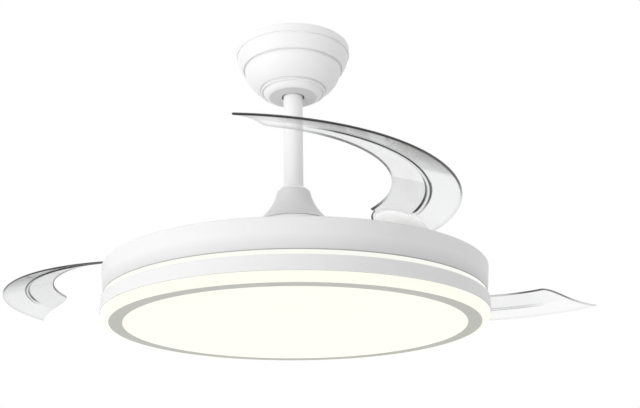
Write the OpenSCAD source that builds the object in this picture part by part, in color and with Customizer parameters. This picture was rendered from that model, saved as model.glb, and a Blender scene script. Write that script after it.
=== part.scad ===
// Ceiling fan with retractable clear blades and an LED light, in millimetres.
// The origin is the centre of the ceiling face of the canopy, +Z is up, so
// everything hangs at negative Z. The blades are drawn open, as in use.

/* [Drum] */
// Ceiling down to the top edge of the drum
drum_drop = 333.5; // [310:1:420]
// Gap between the blade roots and the rim of the drum
drum_gap = 7.1; // [6:0.1:14]
// Taper of the drum wall, from the top edge to the foot
drum_taper = 3.4; // [0:0.2:5]
// Height of the drum wall
housing_h = 36.5; // [33:0.5:60]
// Sheet thickness of the drum
housing_t = 1.5; // [1.2:0.1:2.4]
// Depth of the recess in the top of the drum
deck_drop = 15; // [15:0.5:24]

/* [Light] */
// Height of the glowing slit under the drum
slit_h = 6; // [5.5:0.5:14]
// Radial thickness of the glowing slit ring
slit_t = 4; // [3:0.2:6]
// Height of the white band under the slit
band_h = 17.5; // [14:0.5:30]
// How far the band stands out from the foot of the drum
band_step = 2.6; // [1:0.2:6]
// Radial thickness of the band
band_t = 2.4; // [1.8:0.1:3]
// Height of the diffuser below the band
lens_h = 10.5; // [9.5:0.5:20]
// Wall thickness of the diffuser
lens_t = 2.2; // [1.6:0.1:3]
// Edge of the diffuser to the grey ring
ring_inset = 10.8; // [10.5:0.1:18]
// Width of the grey ring
ring_w = 17.5; // [8:0.5:30]
// Thickness of the grey ring
ring_t = 0.8; // [0.5:0.1:1.2]
// Number of light emitting chips on each circle
chips = 20; // [12:1:24]

/* [Canopy] */
// Radius of the canopy at the ceiling
canopy_r = 80.6; // [79:0.2:90]
// Height of the straight rim
canopy_rim_h = 10.5; // [8:0.5:14]
// Depth of the step between the two tiers
canopy_step = 31; // [28:0.5:34]
// Depth of the flat bottom
canopy_h = 65; // [64:0.5:72]
// Radius of the flat bottom
canopy_foot_r = 45.4; // [44:0.2:50]
// Sheet thickness of the canopy
canopy_t = 1.4; // [1:0.1:1.8]
// Depth of the dished trim below the flat bottom
trim_h = 9.4; // [8:0.2:12]
// Radius of the hole in the trim, round the rod
trim_hole_r = 16.6; // [16.2:0.1:18]

/* [Ceiling bracket] */
// Length of the ceiling plate
bracket_l = 112; // [108:1:124]
// Width of the bracket
bracket_w = 38; // [34:1:42]
// Sheet thickness of the bracket
bracket_t = 2.5; // [2:0.1:3]
// Distance between the two ceiling screws
screw_pitch = 84; // [80:1:90]
// Width of the slots for the ceiling screws
slot_w = 5.5; // [4.5:0.1:6]
// Length of the slots for the ceiling screws
slot_l = 12; // [8:0.5:14]
// Radius of the hanger ball
ball_r = 23; // [22:0.5:24]
// Ceiling down to the centre of the hanger ball
ball_drop = 38; // [37:0.5:39]
// Gap between the ball and its seat
ball_gap = 0.2; // [0.1:0.05:0.3]

/* [Downrod] */
// Outer radius of the downrod
rod_r = 13.5; // [12.5:0.1:13.6]
// Wall of the downrod
rod_t = 2; // [1.5:0.1:3]
// Rod pushed into the coupling
rod_grip = 30; // [24:1:36]
// Radius of the ball pin
ball_pin_r = 4; // [3:0.1:5]
// Radius of the clevis pin
clevis_r = 3; // [2.5:0.1:3.5]
// Radius of the supply cable
cable_r = 3; // [2:0.1:3.6]

/* [Coupling cover] */
// Gap between the mouth of the coupling cover and the motor
cover_gap = 4.5; // [3:0.5:8]
// Height of the coupling cover
cover_h = 61; // [56:1:61]
// Radius of the coupling cover at its shoulder
cover_top_r = 21.2; // [20.8:0.2:23]
// Radius of the coupling cover at its mouth
cover_foot_r = 60; // [50:1:66]
// Wall of the coupling cover
cover_t = 1.5; // [1:0.1:1.8]

/* [Motor] */
// Outer radius of the motor bell
motor_r = 76; // [75:0.5:77]
// Height of the motor bell
motor_h = 61.5; // [61:0.5:62]
// Wall of the motor bell
bell_t = 5; // [4.5:0.1:5.5]
// Height of the stator stack
stator_h = 26; // [20:1:28]
// Running gap between the stator and the magnets
air_gap = 0.8; // [0.5:0.1:1.5]
// Number of magnets
magnets = 20; // [12:2:24]
// Radius of the fixed shaft
shaft_r = 8.5; // [8:0.1:8.6]
// Radius of the cable bore in the shaft
shaft_bore_r = 5; // [4:0.1:6]
// Outer radius of the ball bearings
bearing_r = 20; // [19:0.2:20.4]
// Width of the ball bearings
bearing_w = 12; // [11:0.2:13]

/* [Blades] */
// Number of degrees that a blade swings open
swing = 79; // [60:1:79]
// Bearing of the first blade pivot, anticlockwise from +X
lead = -54.9; // [-90:0.1:0]
// Width of a folded blade outside its pivot
blade_outside = 32; // [30:0.5:34]
// Width of a folded blade inside its pivot
blade_inside = 40; // [34:0.5:42]
// Height of the outer edge of a blade above the drum
blade_low = 6; // [5:0.5:9]
// Height of the inner edge of a blade above its outer edge
blade_pitch = 23; // [16:0.5:25]
// Thickness of a blade
blade_t = 2.4; // [2:0.1:3]
// Angle from the pivot to the tip of a blade
tip_a = 112; // [90:1:112]
// Angle from the tip of a blade back to its inner corner
corner_back = 5; // [2:1:9]
// Radius of the white root hub
hub_r = 31.5; // [28:0.5:32]
// Thickness of the root hub under the blade
hub_t = 4; // [3:0.2:4.6]

/* [Folding gear] */
// Gear module
gear_m = 3; // [3:1:3]
// Teeth of the full circle of a blade gear
blade_teeth = 17; // [17:1:17]
// Teeth of the full circle of the synchronising gear
sync_teeth = 123; // [123:3:126]
// Thickness of the gears
gear_t = 6; // [4:0.5:6]
// Play between the teeth
backlash = 0.4; // [0.3:0.05:0.6]
// Radius of the blade pivot shafts
pivot_shaft_r = 6; // [5:0.1:6.5]
// Radial clearance of the running fits
fit = 0.06; // [0.03:0.01:0.1]
// Thickness of the blade carrier
carrier_t = 2.5; // [2:0.1:3]
// Gap between the mechanism cover and the root hubs
mech_gap = 4.5; // [3:0.5:12]

/* [Hidden] */
$fn = 96;

// Overlap that keeps the faces of a cut from lying on each other
eps = 0.1;
// Clearance of a screw or a pin in its plain hole
hole_play = 0.1;

// Levels of the drum and the light, from the top down
drum_z = -drum_drop;
deck_z = drum_z - deck_drop;
deck_low = deck_z - housing_t;
slit_z = drum_z - housing_h;
band_z = slit_z - slit_h;
lens_z = band_z - band_h;
base_z = lens_z - lens_h;

// Levels of the mechanism, from the deck of the drum up
carrier_gap = 4.5;
carrier_low = deck_z + carrier_gap;
carrier_top = carrier_low + carrier_t;
base_plate_t = 3.5;
motor_low = carrier_top + base_plate_t;
motor_top = motor_low + motor_h;
bell_top_t = 3.5;
bell_under = motor_top - bell_top_t;
gear_low = carrier_top + 4.5;
gear_top = gear_low + gear_t;
mech_t = 1.5;
mech_under = gear_top + 10;
mech_top = mech_under + mech_t;

// Levels of the suspension, from the ceiling down
ball_z = -ball_drop;
rod_top = ball_z + 16;
cover_low = motor_top + cover_gap;
cover_z = cover_low + cover_h;
coupling_top = cover_z - cover_t;
rod_low = coupling_top - rod_grip;
coupling_low = rod_low - 21.5;
shaft_top = rod_low - 1;
clevis_z = coupling_top - 10;
washer_t = 1.2;
nut_h = 4;
nut_z = deck_low - washer_t;
shaft_low = nut_z - nut_h - 1;

// Radii inside the motor
magnet_r = motor_r - bell_t;
magnet_t = 4.5;
stator_r = magnet_r - magnet_t - air_gap;
stator_low = (motor_low + bell_under - stator_h) / 2;
poles = 12;
pole_w = 9;
pole_in_r = 30;
shoe_r = stator_r - 5;
bearing_hub_r = bearing_r + 4;
race_out_t = 3.4;
race_in_t = 3.4;
ball_track_r = (bearing_r - race_out_t + shaft_r + race_in_t) / 2;
bearing_ball_r = (bearing_r - shaft_r) * 0.28;
bell_screw_r = motor_r - bell_t / 2;
bell_screws = 6;

// Folding gears: 20 degree involute teeth
pressure = 20;
blade_pitch_r = gear_m * blade_teeth / 2;
sync_pitch_r = gear_m * sync_teeth / 2;
pivot_r = blade_pitch_r + sync_pitch_r;
carrier_r = pivot_r + 16;
bush_r = pivot_shaft_r + 3;
guide_in_r = motor_r + 4.5;
guide_r = guide_in_r + 3.5;
sync_hub_r = guide_r + 9;
sync_ring_in_r = sync_pitch_r - 14.5;
spoke_w = 26;
spring_post_r = 2.5;
spring_seat_r = sync_ring_in_r - 50;
spring_a = 34;
spring_z = gear_top + 4;
pillar_r = 4;
pillar_seat_r = sync_ring_in_r - 20;
mech_r = pivot_r - hub_r - mech_gap;

// Blade roots
root_r = hub_r + 3;
hub_boss_r = 13;
hub_cap_t = 3;
hub_screw_r = 1.6;
hub_screw_seat = 21;
blade_out_r = pivot_r + blade_outside;
blade_in_r = pivot_r - blade_inside;
rib_r = pivot_r - 2;
rib_w = 5;
rib_h = 1.2;

// Radii of the drum and the light, from the blade roots out
drum_top_r = pivot_r + root_r + drum_gap;
drum_foot_r = drum_top_r - drum_taper;
band_r = drum_foot_r + band_step;
slit_r = band_r - band_t;
tray_r = slit_r - slit_t - 0.9;
tray_t = 1.5;
tray_top = slit_z - 1;
tray_low = tray_top - tray_t;
tray_screw_r = tray_r - 11.5;
band_screw_r = tray_r - 3.5;
band_ledge_in_r = band_screw_r - 4;
lens_r = band_r - 1;
ring_out_r = lens_r - ring_inset;
ring_in_r = ring_out_r - ring_w;
driver = [100, 52, 15];
board_t = 1.6;
board_out_r = tray_screw_r - 7;
board_in_r = norm([driver[0], driver[1]]) / 2 + 13.6;

blade_slope = atan(blade_pitch / (blade_out_r - blade_in_r));
function blade_z(r) =
  drum_z + blade_low
  + (blade_out_r - r) * blade_pitch / (blade_out_r - blade_in_r);

// Point at radius r and angle a
function polar(r, a) = [r * cos(a), r * sin(a)];

// Points of the cubic curve with the control points p, n steps
function bez(p, n = 8) = [
  for (i = [0:n]) let (t = i / n, u = 1 - t)
    p[0] * u * u * u + p[1] * 3 * u * u * t + p[2] * 3 * u * t * t
    + p[3] * t * t * t];

// Points of an arc round the centre c
function arc(c, r, a0, a1, n = 6) = [
  for (i = [0:n]) c + polar(r, a0 + (a1 - a0) * i / n)];

// Children repeated n times on a circle
module around(n, r, a0 = 0) {
  for (i = [0:n - 1]) rotate(a0 + i * 360 / n) translate([r, 0, 0]) children();
}

// Upright cylinder between two levels
module post(r, low, high) {
  translate([0, 0, low]) cylinder(r = r, h = high - low);
}

module ring(r_out, r_in, low, high) {
  difference() {
    post(r_out, low, high);
    post(r_in, low - eps, high + eps);
  }
}

// ---------------------------------------------------------------- ceiling

arm_x = (screw_pitch - slot_l) / 2 - 3;
socket_r = ball_r + 4;
seat_z = ball_z - ball_r + 10;
seat_t = 3;
stand_x = arm_x - 3.5;
stand_r = 4;
canopy_screw_r = 1.95;
canopy_floor = -canopy_h + canopy_t;

module slot(x) {
  for (s = [-1, 1]) translate([x + s * (slot_l - slot_w) / 2, 0, -bracket_t - eps])
    cylinder(r = slot_w / 2, h = bracket_t + 2 * eps);
  translate([x - (slot_l - slot_w) / 2, -slot_w / 2, -bracket_t - eps])
    cube([slot_l - slot_w, slot_w, bracket_t + 2 * eps]);
}

module ceiling_bracket() {
  color("silver") difference() {
    union() {
      translate([-bracket_l / 2, -bracket_w / 2, -bracket_t])
        cube([bracket_l, bracket_w, bracket_t]);
      for (s = [-1, 1]) translate([s * arm_x - bracket_t / 2, -bracket_w / 2, seat_z - seat_t])
        cube([bracket_t, bracket_w, seat_t - seat_z]);
      translate([-arm_x, -bracket_w / 2, seat_z - seat_t])
        cube([2 * arm_x, bracket_w, seat_t]);
      post(socket_r, seat_z - seat_t, seat_z);
      for (s = [-1, 1]) translate([s * stand_x, 0, 0])
        post(stand_r, canopy_floor, seat_z);
    }
    slot(-screw_pitch / 2);
    slot(screw_pitch / 2);
    translate([0, 0, ball_z]) sphere(r = ball_r + ball_gap);
    post(rod_r + 1, seat_z - seat_t - eps, seat_z);
    translate([-rod_r - 1, -socket_r - eps, seat_z - seat_t - eps])
      cube([2 * rod_r + 2, socket_r + eps, seat_t + 2 * eps]);
    for (s = [-1, 1]) translate([s * stand_x, 0, 0])
      post(canopy_screw_r + hole_play, canopy_floor - eps, canopy_floor + 10);
    translate([-arm_x, 0, -30]) rotate([0, 90, 0])
      cylinder(r = earth_r + hole_play, h = 2 * bracket_t, center = true);
  }
}

tier_r = canopy_r - 10.4;
bowl_r = tier_r - 1.8;
canopy_bowl = [
  [bowl_r, -canopy_step], [bowl_r - 1.9, -canopy_step - 13],
  [canopy_foot_r + 12.6, -canopy_h + 8], [canopy_foot_r, -canopy_h + 0.8]];
canopy_tier = [
  [canopy_r - 0.6, -canopy_rim_h - 0.4], [canopy_r - 2.6, -canopy_rim_h - 7.5],
  [canopy_r - 6.4, -canopy_rim_h - 15.5], [tier_r, -canopy_step]];
inward = [-canopy_t, canopy_t];
canopy_hole_r = rod_r + 4.5;

module canopy() {
  color("white") difference() {
    rotate_extrude() polygon(concat(
      [[canopy_r - 0.4, 0], [canopy_r, -0.6], [canopy_r, -canopy_rim_h]],
      bez(canopy_tier), bez(canopy_bowl),
      [[canopy_foot_r - 0.8, -canopy_h], [canopy_hole_r, -canopy_h]],
      [[canopy_hole_r, canopy_floor], [canopy_foot_r - canopy_t - 0.8, canopy_floor]],
      reversed(bez([for (p = canopy_bowl) p + inward])),
      reversed(bez([for (p = canopy_tier) p + [-canopy_t - 1.2, 0]])),
      [[canopy_r - canopy_t, -canopy_rim_h], [canopy_r - canopy_t, 0]]));
    for (s = [-1, 1]) translate([s * stand_x, 0, 0])
      post(canopy_screw_r + hole_play, -canopy_h - eps, canopy_floor + eps);
  }
}

function reversed(v) = [for (i = [len(v) - 1:-1:0]) v[i]];

module canopy_screws() {
  color("gainsboro") for (s = [-1, 1]) translate([s * stand_x, 0, 0]) {
    post(canopy_screw_r, -canopy_h, canopy_floor + 8);
    post(3.8, -canopy_h - 2.2, -canopy_h);
  }
}

trim_low = -canopy_h - trim_h;
trim_t = 1.2;
trim_curve = [
  [canopy_foot_r - 3.4, -canopy_h - 1.8], [canopy_foot_r - 5.2, -canopy_h - 5],
  [canopy_foot_r - 8.6, trim_low], [canopy_foot_r - 14.4, trim_low]];

module canopy_trim() {
  color("white") rotate_extrude() polygon(concat(
    arc([canopy_foot_r - 2.2, -canopy_h - 0.8], 1.1, 45, -160),
    bez(trim_curve),
    [[trim_hole_r, trim_low], [trim_hole_r, trim_low + trim_t]],
    reversed(bez([for (p = trim_curve) p + [-0.9, trim_t]])),
    [[canopy_foot_r - 4.4, -canopy_h], [canopy_foot_r - 1.5, -canopy_h]]));
}

receiver = [2 * arm_x - 12, 26, 10];

module remote_receiver() {
  color("whitesmoke") translate([-receiver[0] / 2, -receiver[1] / 2, -bracket_t - receiver[2]])
    cube(receiver);
}

terminal = [10, 28, 12];

module terminal_block() {
  color("ivory") difference() {
    translate([arm_x + bracket_t / 2, -terminal[1] / 2, -34]) cube(terminal);
    for (i = [-1:1]) translate([arm_x, i * 8.5, -28]) rotate([0, 90, 0])
      cylinder(r = 2, h = 2 * terminal[0]);
  }
}

earth_r = 2;

module earth_screw() {
  color("gold") translate([-arm_x - bracket_t / 2, 0, -30]) rotate([0, 90, 0]) {
    cylinder(r = earth_r, h = bracket_t + 3);
    translate([0, 0, -2.4]) cylinder(r = 4, h = 2.4);
  }
}

// ------------------------------------------------------------- suspension

module hanger_ball() {
  color("dimgray") difference() {
    intersection() {
      translate([0, 0, ball_z]) sphere(r = ball_r);
      post(ball_r, ball_z - ball_r + 6, ball_z + ball_r - 11);
    }
    post(rod_r, ball_z - ball_r, ball_z + ball_r);
    translate([0, 0, ball_z]) rotate([0, 90, 0])
      cylinder(r = ball_pin_r, h = 2 * ball_r, center = true);
  }
}

ball_pin_l = 38;

module ball_pin() {
  color("silver") translate([0, 0, ball_z]) rotate([0, 90, 0])
    cylinder(r = ball_pin_r, h = ball_pin_l, center = true);
}

module downrod() {
  color("white") difference() {
    ring(rod_r, rod_r - rod_t, rod_low, rod_top);
    translate([0, 0, ball_z]) rotate([0, 90, 0])
      cylinder(r = ball_pin_r, h = 3 * rod_r, center = true);
    translate([0, 0, clevis_z]) rotate([0, 90, 0])
      cylinder(r = clevis_r, h = 3 * rod_r, center = true);
  }
}

cover_curve = [
  [cover_top_r, cover_z - 2.4], [cover_top_r + 4.3, cover_z - 18],
  [cover_top_r + 11.8, cover_z - 36], [cover_foot_r, cover_low]];
cover_hole_r = rod_r + 0.4;

module coupling_cover() {
  color("white") rotate_extrude() polygon(concat(
    [[cover_hole_r, cover_z]],
    arc([cover_top_r - 2.4, cover_z - 2.4], 2.4, 90, 15, 4),
    bez(cover_curve, 12),
    [[cover_foot_r - cover_t, cover_low]],
    reversed(bez([for (p = cover_curve) p + [-cover_t, 0]], 12)),
    [[cover_top_r - cover_t, cover_z - cover_t], [cover_hole_r, cover_z - cover_t]]));
}

coupling_r = cover_top_r - cover_t - 1.2;
set_screw_r = 2.5;
set_screw_z = clevis_z - 9;

module coupling() {
  color("silver") difference() {
    post(coupling_r, coupling_low, coupling_top);
    post(rod_r, rod_low, coupling_top + eps);
    post(shaft_r, coupling_low - eps, rod_low + eps);
    translate([0, 0, clevis_z]) rotate([0, 90, 0])
      cylinder(r = clevis_r, h = 3 * coupling_r, center = true);
    translate([0, 0, set_screw_z]) rotate([90, 0, 0])
      cylinder(r = set_screw_r, h = 3 * coupling_r, center = true);
  }
}

module clevis_pin() {
  color("silver") translate([0, 0, clevis_z]) rotate([0, 90, 0]) {
    translate([0, 0, -coupling_r]) cylinder(r = clevis_r, h = 2 * coupling_r + 3);
    translate([0, 0, -coupling_r - 2]) cylinder(r = clevis_r + 1.4, h = 2);
  }
}

module clevis_clip() {
  color("gray") translate([coupling_r + 0.4, 0, clevis_z]) rotate([0, 90, 0])
    ring(clevis_r + 1.6, clevis_r, 0, 1);
}

module coupling_set_screws() {
  color("gray") for (s = [-1, 1]) translate([0, s * rod_r, set_screw_z])
    rotate([-s * 90, 0, 0]) cylinder(r = set_screw_r, h = coupling_r - rod_r + 1);
}

collar_r = shaft_r + 6.5;

module motor_shaft() {
  color("silver") difference() {
    union() {
      post(shaft_r, shaft_low, shaft_top);
      post(collar_r, deck_z, carrier_low - 1);
    }
    post(shaft_bore_r, shaft_low - eps, shaft_top + eps);
  }
}

module shaft_nut() {
  color("silver") {
    ring(shaft_r + 8, shaft_r, nut_z, deck_low);
    difference() {
      translate([0, 0, nut_z - nut_h]) cylinder(r = shaft_r + 6, h = nut_h, $fn = 6);
      post(shaft_r, nut_z - nut_h - eps, nut_z + eps);
    }
  }
}

module pole_bars(w, r0, r1, low, high) {
  around(poles, 0) translate([r0, -w / 2, low]) cube([r1 - r0, w, high - low]);
}

module stator_core() {
  high = stator_low + stator_h;
  color("slategray") difference() {
    union() {
      ring(pole_in_r, shaft_r, stator_low, high);
      pole_bars(pole_w, pole_in_r - 1, shoe_r + 1, stator_low, high);
      ring(stator_r, shoe_r, stator_low, high);
    }
    around(poles, 0, 180 / poles) translate([shoe_r - 1, -1.5, stator_low - eps])
      cube([stator_r - shoe_r + 2, 3, stator_h + 2 * eps]);
  }
}

coil_w = 3.2;

module stator_windings() {
  high = stator_low + stator_h;
  color("peru") difference() {
    pole_bars(pole_w + 2 * coil_w, pole_in_r + 2.5, shoe_r - 0.6,
      stator_low - 1.6 * coil_w, high + 1.6 * coil_w);
    pole_bars(pole_w, pole_in_r, shoe_r, stator_low, high);
  }
}

race_top_low = bell_under - bearing_w;
bearing_play = 0.15;

module track(low) {
  translate([0, 0, low + bearing_w / 2]) rotate_extrude()
    translate([ball_track_r, 0]) circle(r = bearing_ball_r + bearing_play, $fn = 48);
}

module bearing_inner_races() {
  color("silver") for (low = [motor_low, race_top_low]) difference() {
    ring(shaft_r + race_in_t, shaft_r, low, low + bearing_w);
    track(low);
  }
}

module bearing_outer_races() {
  color("silver") for (low = [motor_low, race_top_low]) difference() {
    ring(bearing_r, bearing_r - race_out_t, low, low + bearing_w);
    track(low);
  }
}

module bearing_balls() {
  color("silver") for (low = [motor_low, race_top_low])
    translate([0, 0, low + bearing_w / 2])
      around(9, ball_track_r) sphere(r = bearing_ball_r, $fn = 32);
}

// The cable runs beside the two cross pins and then into the shaft.
cable_y = max(ball_pin_r, clevis_r) + cable_r + 0.2;
cable_path = concat(
  [[cable_y, rod_top + 1], [cable_y, clevis_z - 5]],
  [for (i = [1:7]) let (t = i / 8)
    [cable_y * (1 + cos(180 * t)) / 2, clevis_z - 5 - 18 * t]],
  [[0, clevis_z - 23], [0, tray_low]]);
cable_sides = 12;

function direction(path, i) =
  let (a = path[max(i - 1, 0)], b = path[min(i + 1, len(path) - 1)], d = b - a) d / norm(d);

module supply_cable() {
  n = len(cable_path);
  points = [for (i = [0:n - 1], k = [0:cable_sides - 1])
    let (d = direction(cable_path, i), s = cable_r * sin(k * 360 / cable_sides))
    [cable_r * cos(k * 360 / cable_sides), cable_path[i][0] + d[1] * s, cable_path[i][1] - d[0] * s]];
  sides = [for (i = [0:n - 2], k = [0:cable_sides - 1])
    let (a = i * cable_sides + k, b = i * cable_sides + (k + 1) % cable_sides)
    each [[a, b, b + cable_sides], [a, b + cable_sides, a + cable_sides]]];
  ends = [[for (k = [cable_sides - 1:-1:0]) k],
    [for (k = [0:cable_sides - 1]) (n - 1) * cable_sides + k]];
  color("white") polyhedron(points, concat(sides, ends));
}

// ---------------------------------------------------------------- housing

rim_round = 2;
function drum_r(z) = drum_foot_r + (drum_top_r - drum_foot_r) * (z - slit_z) / housing_h;

module drum_housing() {
  color("white") rotate_extrude() polygon(concat(
    [[drum_foot_r - housing_t, slit_z], [drum_foot_r, slit_z]],
    arc([drum_top_r - rim_round, drum_z - rim_round], rim_round, 0, 90),
    [[drum_r(deck_z) - housing_t, deck_z], [shaft_r, deck_z], [shaft_r, deck_low],
      [drum_r(deck_low) - housing_t, deck_low]]));
}

tray_pillars = 6;
tray_pillar_r = 4;
light_screw_r = 1.9;
band_ledge_t = 2;
band_screw_shift = 30;

module led_tray() {
  color("white") difference() {
    union() {
      post(tray_r, tray_low, tray_top);
      around(tray_pillars, tray_screw_r) post(tray_pillar_r, tray_top - eps, deck_low);
    }
    around(tray_pillars, tray_screw_r) post(light_screw_r, tray_low - eps, deck_low - 4);
    around(tray_pillars, band_screw_r, band_screw_shift)
      post(light_screw_r, tray_low - eps, tray_top + eps);
    post(8, tray_low - eps, tray_top + eps);
  }
}

module light_screws() {
  color("silver") {
    around(tray_pillars, tray_screw_r) {
      post(light_screw_r, tray_low, deck_low - 6);
      post(3.4, tray_low - 2, tray_low);
    }
    around(tray_pillars, band_screw_r, band_screw_shift) {
      post(light_screw_r, band_z - band_ledge_t, tray_top + 1);
      post(3.4, band_z - band_ledge_t - 2, band_z - band_ledge_t);
      ring(3.2, light_screw_r, band_z, tray_low);
    }
  }
}

board_low = tray_low - board_t;
chip_step = (board_out_r - board_in_r - 35) / 3;
chip_circles = [for (i = [0:3]) board_in_r + 20 + i * chip_step];
chip = [3, 3, 0.8];

module led_board() {
  color("white") ring(board_out_r, board_in_r, board_low, tray_low);
}

module led_chips() {
  color("khaki") for (r = chip_circles) around(chips, r, r)
    translate([-chip[0] / 2, -chip[1] / 2, board_low - chip[2]]) cube(chip);
}

module led_driver() {
  color("whitesmoke") difference() {
    translate([-driver[0] / 2, -driver[1] / 2, tray_low - driver[2]]) cube(driver);
    for (s = [-1, 1]) translate([s * (driver[0] / 2 - 6), 0, 0])
      post(2, tray_low - driver[2] - eps, tray_low + eps);
  }
}

module slit_ring() {
  color([1, 1, 0.96]) ring(slit_r, slit_r - slit_t, band_z, slit_z);
}

module lower_band() {
  ledge_low = band_z - band_ledge_t;
  color("white") difference() {
    rotate_extrude() polygon([
      [band_r - 0.8, lens_z], [band_r, lens_z + 0.8], [band_r, band_z - 0.5],
      [band_r - 0.5, band_z], [band_ledge_in_r, band_z], [band_ledge_in_r, ledge_low],
      [band_r - band_t, ledge_low], [band_r - band_t, lens_z]]);
    around(tray_pillars, band_screw_r, band_screw_shift)
      post(light_screw_r, ledge_low - eps, band_z + eps);
  }
}

lens_round = lens_h - 0.5;
lens_rim_r = band_r - band_t - 0.4;
lens_rim_h = 7;
lens_in_r = lens_rim_r - lens_t;
lens_flat_r = lens_r - lens_round;

module diffuser() {
  color([1, 1, 0.95]) difference() {
    rotate_extrude() polygon(concat(
      [[0, base_z]], arc([lens_flat_r, base_z + lens_round], lens_round, -90, 0),
      [[lens_r, lens_z], [lens_rim_r, lens_z], [lens_rim_r, lens_z + lens_rim_h],
        [lens_in_r, lens_z + lens_rim_h]],
      bez([[lens_in_r, base_z + lens_round], [lens_in_r, base_z + lens_t + 2],
        [lens_flat_r + 4, base_z + lens_t], [lens_flat_r, base_z + lens_t]]),
      [[0, base_z + lens_t]]));
    ring(ring_out_r, ring_in_r, base_z - eps, base_z + ring_t);
  }
}

module trim_ring() {
  color("silver") ring(ring_out_r, ring_in_r, base_z, base_z + ring_t);
}

// ------------------------------------------------------------------ rotor

bell_round = 8;

module motor_bell() {
  color("white") difference() {
    rotate_extrude() polygon(concat(
      [[motor_r, motor_low]],
      arc([motor_r - bell_round, motor_top - bell_round], bell_round, 0, 90),
      [[race_hole_r, motor_top], [race_hole_r, bell_under], [bearing_r, bell_under],
        [bearing_r, race_top_low], [bearing_hub_r, race_top_low], [bearing_hub_r, bell_under],
        [magnet_r - 4, bell_under], [magnet_r, bell_under - 4], [magnet_r, motor_low]]));
    around(10, 30) translate([0, -2.5, bell_under - eps]) cube([28, 5, bell_top_t + 2 * eps]);
    around(bell_screws, bell_screw_r) post(rotor_screw_r, motor_low - eps, motor_low + 10);
  }
}

race_hole_r = bearing_r - race_out_t;
rotor_screw_r = 1.5;

module motor_base() {
  color("silver") difference() {
    union() {
      ring(motor_r, race_hole_r, carrier_top, motor_low);
      ring(bearing_hub_r, bearing_r, motor_low, motor_low + bearing_w);
    }
    around(bell_screws, bell_screw_r) post(rotor_screw_r, carrier_top - eps, motor_low + eps);
  }
}

module rotor_magnets() {
  gap_a = 3;
  color("dimgray") for (i = [0:magnets - 1]) rotate(i * 360 / magnets)
    translate([0, 0, stator_low]) rotate_extrude(angle = 360 / magnets - gap_a)
      translate([magnet_r - magnet_t, 0]) square([magnet_t, stator_h]);
}

light_hole_r = 18;

module blade_carrier() {
  color("silver") {
    difference() {
      union() {
        ring(carrier_r, collar_r + 7, carrier_low, carrier_top);
        around(3, pillar_seat_r, lead + 60) post(pillar_r, carrier_top - eps, mech_under);
        around(3, spring_seat_r, lead + spring_a)
          post(spring_post_r, carrier_top - eps, spring_z + 3);
      }
      around(3, pivot_r, lead) post(bush_r, carrier_low - eps, carrier_top + eps);
      around(bell_screws, bell_screw_r) post(rotor_screw_r, carrier_low - eps, carrier_top + eps);
      around(6, spring_seat_r, lead + 10)
        post(light_hole_r, carrier_low - eps, carrier_top + eps);
      around(3, pillar_seat_r, lead + 60) post(cover_screw_r, mech_under - 10, mech_under + eps);
    }
  }
}

module rotor_screws() {
  color("gray") around(bell_screws, bell_screw_r) {
    post(rotor_screw_r, carrier_low, motor_low + 8);
    post(3, carrier_low - 2, carrier_low);
  }
}

bush_in_r = pivot_shaft_r + fit;
bush_top = gear_low - 0.2;

module pivot_bushes() {
  color("goldenrod") around(3, pivot_r, lead) difference() {
    union() {
      post(bush_r, carrier_low, bush_top);
      post(bush_r + 4, carrier_top, carrier_top + 2);
    }
    post(bush_in_r, carrier_low - eps, bush_top + eps);
  }
}

module sync_guide() {
  color("ivory") {
    ring(guide_r, guide_in_r, carrier_top, gear_top + 1.8);
    ring(guide_r + 6, guide_r, carrier_top, gear_low - 0.2);
    ring(guide_r + 3.5, guide_r, gear_top + 0.3, gear_top + 1.5);
  }
}

spring_l = 2 * spring_seat_r * sin(spring_a / 2);
hook_r = spring_post_r + 1.2;
wire_r = 0.8;
spring_r = 3.4;

module return_springs() {
  color("silver") around(3, 0, lead)
    translate([spring_seat_r, 0, spring_z]) rotate(90 + spring_a / 2) {
      for (x = [0, spring_l]) translate([x, 0, 0]) rotate_extrude()
        translate([hook_r, 0]) circle(r = wire_r, $fn = 16);
      translate([hook_r, 0, 0]) rotate([0, 90, 0])
        cylinder(r = wire_r, h = spring_l - 2 * hook_r, $fn = 16);
      translate([hook_r + 5, 0, 0]) rotate([0, 90, 0])
        cylinder(r = spring_r, h = spring_l - 2 * hook_r - 10, $fn = 32);
    }
}

mech_hole_r = motor_r + 3;
mech_skirt = 8;
cover_screw_r = 1.9;

module mechanism_cover() {
  color("white") difference() {
    rotate_extrude() polygon(concat(
      [[mech_hole_r, mech_under], [mech_hole_r, mech_top]],
      arc([mech_r - 5, mech_top - 5], 5, 90, 0),
      [[mech_r, mech_under - mech_skirt], [mech_r - mech_t, mech_under - mech_skirt]],
      arc([mech_r - 5, mech_top - 5], 5 - mech_t, 0, 90)));
    around(3, pillar_seat_r, lead + 60) post(cover_screw_r, mech_under - eps, mech_top + eps);
  }
}

module cover_screws() {
  color("silver") around(3, pillar_seat_r, lead + 60) {
    post(cover_screw_r, mech_under - 8, mech_top);
    post(3.8, mech_top, mech_top + 2);
  }
}

// ---------------------------------------------------------- folding gears

function inv(a) = tan(a) * 180 / PI - a;

// Half angle of a tooth at radius r, on a gear with the pitch radius pr
function half_tooth(r, pr) =
  let (rb = pr * cos(pressure), a = r > rb ? acos(rb / r) : 0)
  (PI * gear_m / 2 - backlash / 2) / (2 * pr) * 180 / PI + inv(pressure) - inv(a);

// Outline of one tooth about the direction 0, from inside the root circle out
function tooth(pr) =
  let (root = pr - 1.25 * gear_m - 1, tip = pr + gear_m, n = 6,
    rs = [for (i = [0:n]) root + (tip - root) * i / n])
  concat([for (r = rs) polar(r, -half_tooth(r, pr))],
    [for (r = reversed(rs)) polar(r, half_tooth(r, pr))]);

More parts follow.
